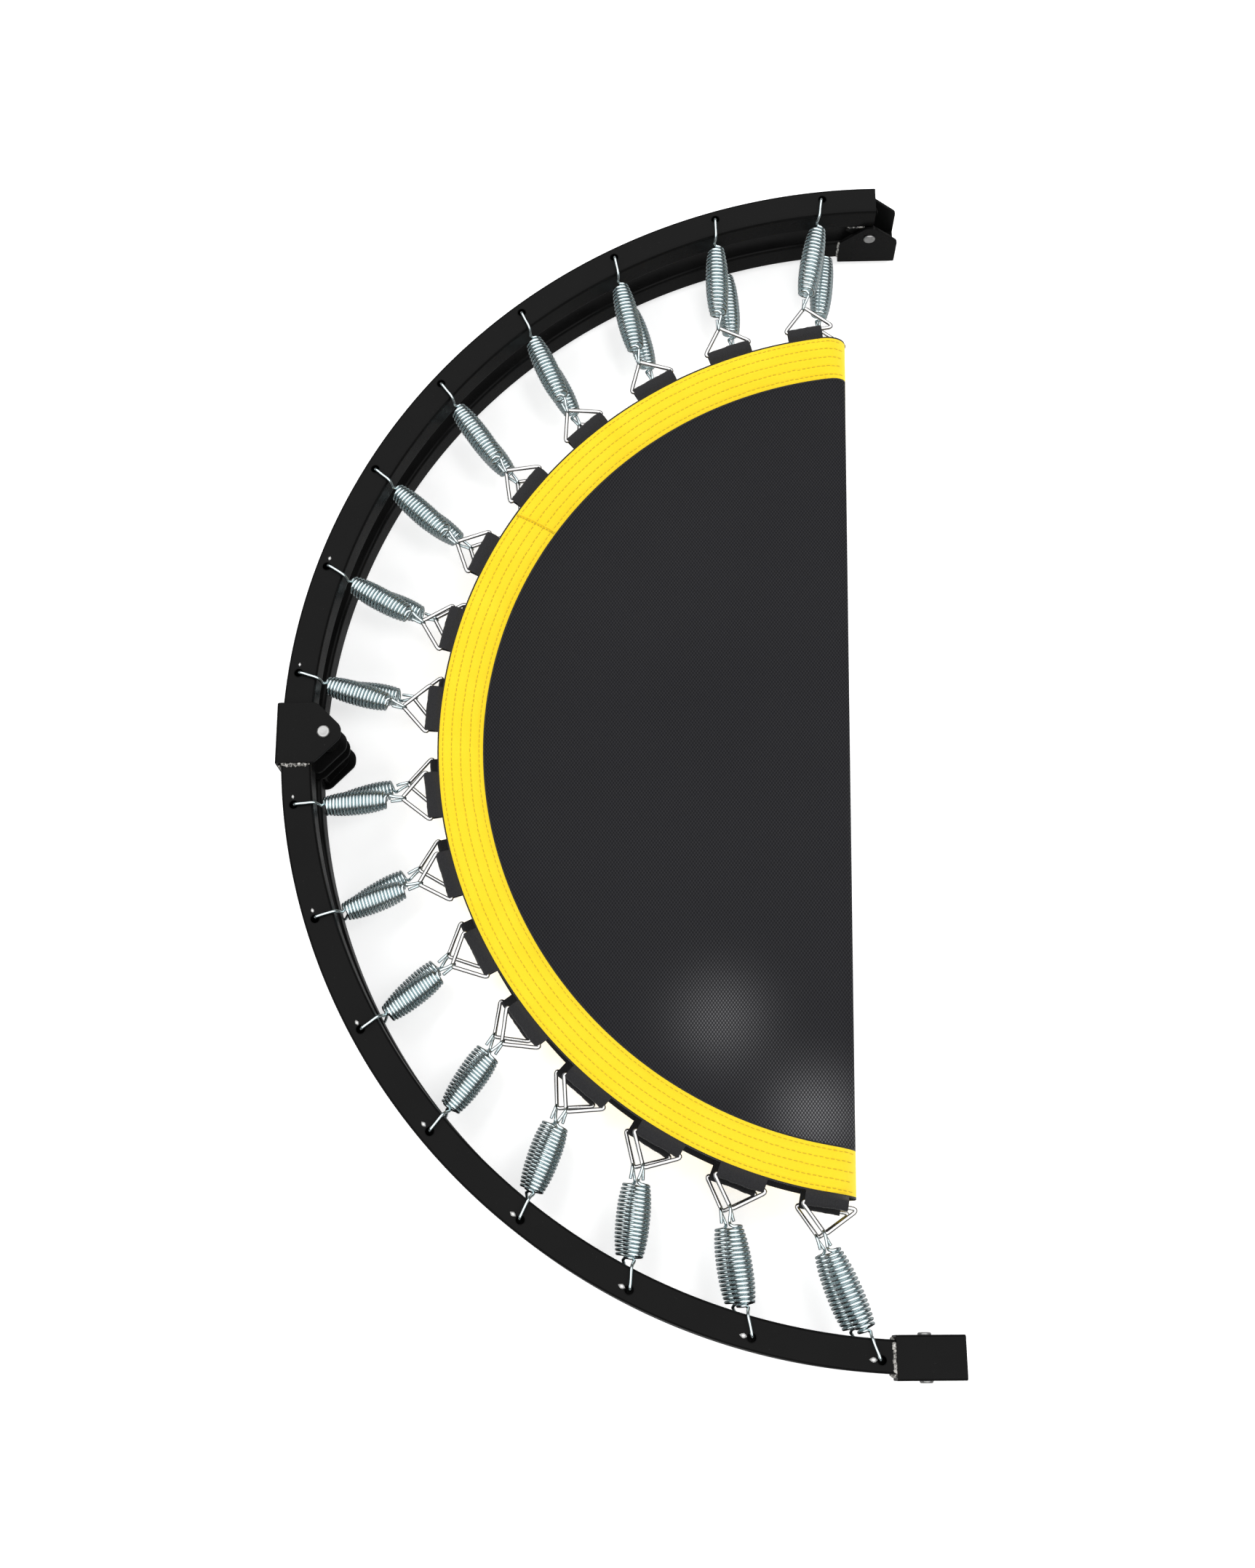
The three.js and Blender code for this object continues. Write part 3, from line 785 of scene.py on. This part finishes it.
def soft_height(x, y):
    """Height of the cloth above the half-fold axis, down to 0 where it turns in at the fold."""
    height = flat_height(x, y)
    width = 10 + 15 * np.clip((height - REST_HEIGHT) / (RIM_HEIGHT - REST_HEIGHT), 0, 1)
    inside = np.clip((fold_line(y) - x) / width, 0, 1)
    return height * np.sqrt(np.clip(1 - (1 - inside) ** 2, 0, 1))


def circle(radius, angle, side):
    """Places round the mat. Angles in degrees run from +X through the side's own direction."""
    angle = np.radians(angle)
    return np.stack([MAT_CENTRE[0] + radius * np.cos(angle),
                     MAT_CENTRE[1] + side * radius * np.sin(angle)], axis=-1)


def inner_angle(radius, side):
    """Where a circle round the mat meets the line between the two quarters."""
    return 180 - np.degrees(np.arcsin((-side * MAT_CENTRE[1]) / radius))


def fold_angle(radius, side, inset=0.0):
    """Where a circle round the mat meets the fold."""
    line = fold_line(MAT_CENTRE[1] + side * radius) - inset
    return np.degrees(np.arccos((line - MAT_CENTRE[0]) / radius))


def crumple(piece):
    """Gives a soft piece a mesh of its own."""
    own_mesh(piece)


ROOT_ANGLE = 165                   # the rim pieces beside the hinge run from here to it


def mat_quarter(quarter):
    """One quarter of the cloth: an upper and an under sheet, joined round their border."""
    side, layer = quarter["side"], quarter["layer"]
    radius = BAND_INSIDE + 4
    seam = inner_angle(radius, side)
    corner = fold_angle(radius, side, 0.5)
    reach = abs(circle(radius, corner, side)[1])
    turn_in = 1 - np.cos(np.linspace(0.12, math.pi / 2, 10))
    rows = []
    for share in np.linspace(0, 0.997, 90):
        y = side * share * reach
        start = np.array([fold_line(y), y])
        rim = circle(radius, seam + (corner - seam) * share, side)
        length = np.linalg.norm(rim - start)
        turn = min(24, 0.5 * length) / length
        steps = np.concatenate([turn_in * turn, np.linspace(turn, 1, 80)[1:]])
        rows.append(start + (rim - start) * steps[:, None])
    plan = np.concatenate(rows)
    height = np.maximum(soft_height(plan[:, 0], plan[:, 1]) - 0.35, 0.02)
    thickness = np.clip(height, 0.05, CLOTH)
    top = np.column_stack([plan, layer * height])
    under = np.column_stack([plan, layer * (height - thickness)])
    count = len(top)
    width = len(rows[0])
    faces = grid_faces(len(rows), width)
    faces += [tuple(count + index for index in reversed(face)) for face in faces]
    border = list(range(width))
    border += [width * row + width - 1 for row in range(1, len(rows))]
    border += [count - 1 - k for k in range(1, width)]
    border += [width * row for row in range(len(rows) - 2, 0, -1)]
    faces += [(b, a, count + a, count + b) for a, b in zip(border, border[1:] + border[:1])]
    if side * layer < 0:
        faces = reversed_faces(faces)
    piece = add_mesh(f"mat_cloth_{quarter['body']}", np.vstack([top, under]), faces, MAT, 40)
    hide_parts(f"mat_{quarter['body']}")
    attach(piece, quarter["body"])
    crumple(piece)


def rim_shares(first, last):
    """Steps along the rim, closer together where the cloth turns in at the fold."""
    if last < 1:
        return np.linspace(first, last, 26)
    bend = 1 - 0.06 * (1 - np.sin(np.linspace(0.08, math.pi / 2, 14)))
    return np.concatenate([np.linspace(first, 0.94, 86), bend])


def root_share(radius, side):
    """The share of the rim, from the hinge to the fold, that lies between the hinge and ROOT_ANGLE."""
    start, end = inner_angle(radius, side), fold_angle(radius, side)
    return (start - ROOT_ANGLE) / (start - end)


def strip_round(section, side, layer, first, last):
    """A closed section of (radius, lift) carried round the mat's rim, between two shares of it."""
    rows = []
    radius = section[:, 0]
    start, end = inner_angle(radius, side), fold_angle(radius, side)
    root = root_share(radius, side)
    for share in rim_shares(first, last):
        along = root * share * 2 if share < 0.5 else root + (1 - root) * (share * 2 - 1)
        plan = circle(radius, start + (end - start) * along, side)
        height = soft_height(plan[:, 0], plan[:, 1])
        fade = np.clip(height / 6, 0.2, 1)
        rows.append(np.column_stack([plan, layer * (height + section[:, 1] * fade)]))
    count = len(section)
    faces = grid_faces(len(rows), count, close_columns=True) + end_caps(len(rows), count)
    if side * layer < 0:
        faces = reversed_faces(faces)
    return np.concatenate(rows), faces


STITCH_ROWS = [0.09, 0.29, 0.50, 0.71, 0.91]  # shares of the band's width
STITCH_PITCH = 4.4


def band_lift(share):
    """The band's upper face above its base: rounded at its edges and drawn in along each seam."""
    crown = 1.35 * (1 - np.abs(2 * share - 1) ** 6)
    for row in STITCH_ROWS:
        crown = crown - 0.42 * np.exp(-((share - row) / 0.018) ** 2)
    return crown


OVERLAP_ANGLE = 145.4


def band_overlap():
    """Where the band's two ends lap over each other, sewn down with one line of stitches."""
    share = np.linspace(0.02, 0.985, 40)
    plan = circle(BAND_INSIDE + BAND_WIDTH * share, OVERLAP_ANGLE + share, 1)
    height = soft_height(plan[:, 0], plan[:, 1]) + band_lift(share) + 0.1
    path = np.column_stack([plan, height])
    edge = add_mesh("band_overlap_edge", *sweep(path, 0.8, 8), BAND)
    shell = Shell()
    for k in range(0, 37, 3):
        shell.add(*sweep(path[k:k + 3] + (-1.3, -1.5, 0.25), [0.35, 0.55, 0.35], 6))
    thread = shell.piece("band_overlap_stitches", THREAD)
    for piece in (edge, thread):
        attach(piece, "upper_back")


def finish_rim(piece, quarter, part):
    """Body and, beside the hinge, a mesh of its own for a piece on the mat's rim."""
    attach(piece, quarter["body"])
    if part == "root":
        crumple(piece)


RIM_PARTS = {"root": (0, 0.5), "main": (0.5, 1)}


def edge_band(quarter):
    """The yellow band, and the black edging that shows as a thin line on both sides of it."""
    side, layer = quarter["side"], quarter["layer"]
    share = np.linspace(0, 1, 61)
    upper = np.column_stack([BAND_INSIDE + BAND_WIDTH * share, band_lift(share)])
    lower = np.array([(MAT_RADIUS, -0.5), (BAND_INSIDE, -0.5)])
    face = np.vstack([upper, lower])
    inside = BAND_INSIDE - 1.1
    outside = MAT_RADIUS + 1.2
    border = np.array([(inside, 0.15), (outside, 0.25), (outside, -1.6), (inside, -1.4)])
    for part, (first, last) in RIM_PARTS.items():
        name = f"{part}_{quarter['body']}"
        band = add_mesh(f"yellow_band_{name}", *strip_round(face, side, layer, first, last), BAND, 60)
        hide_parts(f"edge_band_{quarter['body']}")
        finish_rim(band, quarter, part)
        edging = add_mesh(f"black_edging_{name}", *strip_round(border, side, layer, first, last), WEBBING, 60)
        finish_rim(edging, quarter, part)


def stitches(quarter):
    """Rows of single stitches along the band. Each dips into the cloth at both its ends."""
    side, layer = quarter["side"], quarter["layer"]
    shells = {"root": Shell(), "main": Shell()}
    for row in STITCH_ROWS:
        radius = BAND_INSIDE + BAND_WIDTH * row
        start, end = inner_angle(radius, side), fold_angle(radius, side, 4)
        pitch = math.degrees(STITCH_PITCH / radius)
        for angle in np.arange(start - pitch / 2, end, -pitch):
            spread = np.array([-0.40, -0.2, 0.2, 0.40]) * pitch
            plan = circle(radius + rng.normal(0, 0.12), angle + spread, side)
            lift = band_lift(row) + np.array([-0.15, 0.22, 0.22, -0.15])
            height = soft_height(plan[:, 0], plan[:, 1]) + lift
            path = np.column_stack([plan, layer * height])
            part = "root" if angle > ROOT_ANGLE else "main"
            shells[part].add(*sweep(path, [0.2, 0.36, 0.36, 0.2], 6))
    for part, shell in shells.items():
        thread = shell.piece(f"band_stitches_{part}_{quarter['body']}", THREAD)
        finish_rim(thread, quarter, part)


def next_to_hinge(side):
    """The spring and loop beside the quarter-fold hinge."""
    return 7 if side > 0 else 0


def give_way(piece):
    """Gives a spring, ring or loop beside the hinge a mesh of its own."""
    crumple(piece)


def loop_ends(side, k):
    """How far a loop reaches to each side of its middle. It is narrower beside the fold."""
    if side > 0 and k == 0:
        return -11.0, LOOP_HALF
    if side < 0 and k == 7:
        return -LOOP_HALF, 14.0
    return -LOOP_HALF, LOOP_HALF


def loop_section():
    """A closed outline of the strap, as (radius beyond the rim, height), folded round the base bar."""
    bend = np.radians(np.linspace(-80, 80, 9))
    path = [(-7, -2.4), (0, -2.5), (4.6, -2.5)]
    path += [(LOOP_BAR + 2.45 * math.cos(a), 2.45 * math.sin(a)) for a in bend]
    path += [(5.0, 2.3), (1.4, 0.4), (-2.0, -1.1), (-7, -1.2)]
    path = curve_through([(r, z, 0) for r, z in path], 3)[:, :2]
    tangents = np.gradient(path, axis=0)
    tangents /= np.linalg.norm(tangents, axis=1)[:, None]
    normals = np.column_stack([-tangents[:, 1], tangents[:, 0]])
    return np.vstack([path + normals * 0.5, (path - normals * 0.5)[::-1]])


def webbing_loop(section, tab, layer, ends):
    """One loop at an angle round the mat. Its cut edges are a little uneven."""
    outward = np.array([math.cos(tab), math.sin(tab)])
    tangent = np.array([-outward[1], outward[0]])
    root = MAT_CENTRE + outward * MAT_RADIUS
    bar = root + outward * LOOP_BAR
    level = soft_height(bar[0], bar[1])
    widths = np.linspace(*ends, 21) + rng.normal(0, 0.15, 21)
    ruffle = np.cumsum(rng.normal(0, 0.16, 21))
    ruffle -= ruffle.mean()
    rows = []
    for width, shift in zip(widths, ruffle):
        edge = np.clip(1 - (20.0 - abs(width)) / 2.5, 0, 1) * 0.35
        radial = section[:, 0] + (shift - edge) * np.clip(section[:, 0] / LOOP_BAR, 0, 1)
        plan = root + radial[:, None] * outward + width * tangent
        height = soft_height(plan[:, 0], plan[:, 1])
        beyond = np.clip(section[:, 0] / 5, 0, 1)
        height = height + (level - height) * beyond - 0.2
        rows.append(np.column_stack([plan, layer * (height + section[:, 1])]))
    faces = grid_faces(len(rows), len(section), close_columns=True) + end_caps(len(rows), len(section))
    return np.concatenate(rows), faces


def webbing_loops(quarter):
    """The loops that hold the triangle rings, each folded round its ring's base bar."""
    side, layer = quarter["side"], quarter["layer"]
    section = loop_section()
    shells = {"main": Shell(), "root": Shell()}
    for k, tab in enumerate(np.radians(tab_angles(quarter))):
        part = "root" if k == next_to_hinge(side) else "main"
        shells[part].add(*webbing_loop(section, tab, layer, loop_ends(side, k)))
    for part, shell in shells.items():
        piece = shell.piece(f"webbing_{part}_{quarter['body']}", WEBBING, sharp_degrees=50)
        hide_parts(f"webbing_loops_{quarter['body']}")
        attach(piece, quarter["body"])
        if part == "root":
            give_way(piece)


def bridge(name, plan, height, material):
    """Cloth from the upper layer to the lower one, out of sight in the fold."""
    plan = np.asarray(plan)
    top = np.column_stack([plan, height])
    points = np.vstack([top, top * (1, 1, -1)])
    piece = add_mesh(name, points, grid_faces(2, len(plan)), material)
    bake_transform(piece)


BRIDGE_RADIUS = 330


def fold_bridges(side, upper):
    """The cloth and the band that cross from one layer to the other on one side of the ring."""
    corner = fold_angle(BRIDGE_RADIUS, side, 12)
    angles = np.linspace(inner_angle(BRIDGE_RADIUS, side), corner, 60)
    plan = circle(BRIDGE_RADIUS, angles, side)
    height = REST_HEIGHT - 1 - NEST_STEP * side * smooth(np.abs(plan[:, 1]) / 80)
    bridge(f"mat_bridge_{upper}", plan, height, MAT)
    for name, first, last, lift, material, slot in (
        ("mat_corner_bridge", BRIDGE_RADIUS - 14, BAND_INSIDE + 2, -0.9, MAT, "mat_weave"),
        ("band_bridge", BAND_INSIDE, MAT_RADIUS, 0.9, BAND, "edge_band"),
    ):
        radius = np.linspace(first, last, 30)
        reach = MAT_CENTRE[1] + side * np.sqrt(radius ** 2 - (FOLD_X - 15 - MAT_CENTRE[0]) ** 2)
        inset = 10 + 15 * smooth((radius - 300) / 74)
        plan = np.column_stack([fold_line(reach) - inset, reach])
        height = flat_height(plan[:, 0], plan[:, 1]) + lift
        bridge(f"{name}_{upper}", plan, height, material)


# ---------------------------------------------------------------- build

for quarter in QUARTERS:
    frame_tube(quarter)
    hole_details(quarter)
    mat_quarter(quarter)
    edge_band(quarter)
    stitches(quarter)
    webbing_loops(quarter)
    for k in range(LOOPS_PER_QUARTER):
        hang_spring(quarter, k)

band_overlap()
fold_bridges(1, "upper_back")
fold_bridges(-1, "upper_front")

X = Vector((1, 0, 0))
Y = Vector((0, 1, 0))
Z = Vector((0, 0, 1))


def pin_of(name):
    """The middle of the pin that a joint turns about."""
    return Vector(joints[name]["pos_m"])


hinge("quarter_fold_bracket_upper", "quarter_fold_knuckle_upper", "upper_front", "upper_back",
      "quarter_upper", pin_of("quarter_fold"), Z, -X)
hinge("quarter_fold_bracket_lower", "quarter_fold_knuckle_lower", "lower_back", "lower_front",
      "quarter_lower", pin_of("quarter_fold_rivet_lower_spin"), Z, -X)
hinge("half_fold_bracket_upper_front", "half_fold_knuckle_lower_front", "upper_front", "lower_front",
      "half_front", pin_of("half_fold"), Y, Z)
hinge("half_fold_bracket_lower_back", "half_fold_knuckle_upper_back", "lower_back", "upper_back",
      "half_back", pin_of("half_fold_follower"), Y, -Z)
for name, axis in (("quarter_fold_rivet_upper", Z), ("quarter_fold_rivet_lower", Z),
                   ("half_fold_rivet_upper_front", Y), ("half_fold_rivet_lower_back", Y)):
    rivet(name, name, pin_of(f"{name}_spin"), axis)
for layer in (1, -1):
    bracket_welds(layer)
    knuckle_welds(layer)

# ---------------------------------------------------------------- floor, light and camera


ROOM_SHADES = [                    # how high a reflected ray points, 0 to 1, and how bright the room is there
    (0.0, 0.08), (0.40, 0.06), (0.52, 0.30), (0.66, 1.4), (0.9, 1.6), (1.0, 1.5),
]
LAMPS = [                          # place, width in metres and power in watts
    ("key", (-1.9, 1.7, 2.0), 1.6, 52),
    ("fill", (2.1, 0.6, 1.9), 1.8, 34),
    ("front", (0.1, -2.4, 1.7), 1.6, 26),
]
CAMERA_PLACE = (0.054, -0.4926, 1.5504)
CAMERA_TURN = (16.816, 1.435, -0.394)
CAMERA_LENS = 54.26


def pale_floor():
    """A white floor that gives off a little light, but looks darker in the metal's reflections."""
    bpy.ops.mesh.primitive_plane_add(size=30, location=(0, 0, -0.001))
    floor = bpy.context.object
    floor.name = "floor"
    look = Look("pale_floor")
    shiny = look.add("ShaderNodeLightPath").outputs["Is Glossy Ray"]
    pale = look.mix(look.noise(1.5), (0.90, 0.90, 0.90), (0.93, 0.93, 0.93))
    look.set(Base_Color=look.mix(shiny, pale, (0.20, 0.20, 0.20)), Roughness=0.9, Specular_IOR_Level=0)
    look.set(Emission_Color=(1, 1, 1, 1), Emission_Strength=look.remap(shiny, 0, 1, 0.62, 0.16))
    floor.data.materials.append(look.material)


def room_light():
    """An even pale world, except that reflections see a room with a dark horizon and a bright ceiling."""
    world = bpy.data.worlds.new("studio")
    bpy.context.scene.world = world
    world.use_nodes = True
    tree = world.node_tree
    background = tree.nodes["Background"]

    def add(kind, **settings):
        node = tree.nodes.new(kind)
        for key, value in settings.items():
            setattr(node, key, value)
        return node

    toward = add("ShaderNodeSeparateXYZ")
    tree.links.new(add("ShaderNodeTexCoord").outputs["Generated"], toward.inputs[0])
    room = add("ShaderNodeValToRGB")
    while len(room.color_ramp.elements) < len(ROOM_SHADES):
        room.color_ramp.elements.new(0.5)
    for element, (position, level) in zip(room.color_ramp.elements, ROOM_SHADES):
        element.position = position
        element.color = (level, level, level, 1)
    tree.links.new(toward.outputs[2], room.inputs[0])
    rays = add("ShaderNodeLightPath")
    choice = add("ShaderNodeMix", data_type="RGBA")
    choice.inputs[6].default_value = (0.55, 0.55, 0.55, 1)
    tree.links.new(rays.outputs["Is Glossy Ray"], choice.inputs[0])
    tree.links.new(room.outputs[0], choice.inputs[7])
    tree.links.new(choice.outputs[2], background.inputs["Color"])


def lamps():
    """Three soft square lamps round the object, hidden from the metal's reflections."""
    for name, place, size, power in LAMPS:
        light = bpy.data.lights.new(name, "AREA")
        light.size = size
        light.energy = power
        lamp = bpy.data.objects.new(name, light)
        lamp.location = place
        lamp.visible_glossy = False
        lamp.rotation_euler = (-Vector(place)).to_track_quat("-Z", "Y").to_euler()
        bpy.context.scene.collection.objects.link(lamp)


def camera():
    """Looks down on the folded trampoline from about 1.5 m."""
    lens = bpy.data.cameras.new("camera")
    lens.sensor_fit = "HORIZONTAL"
    lens.sensor_width = 36
    lens.lens = CAMERA_LENS
    view = bpy.data.objects.new("camera", lens)
    view.location = CAMERA_PLACE
    view.rotation_euler = [math.radians(angle) for angle in CAMERA_TURN]
    bpy.context.scene.collection.objects.link(view)
    bpy.context.scene.camera = view


pale_floor()
room_light()
lamps()
camera()
bpy.context.scene.view_settings.view_transform = "Standard"
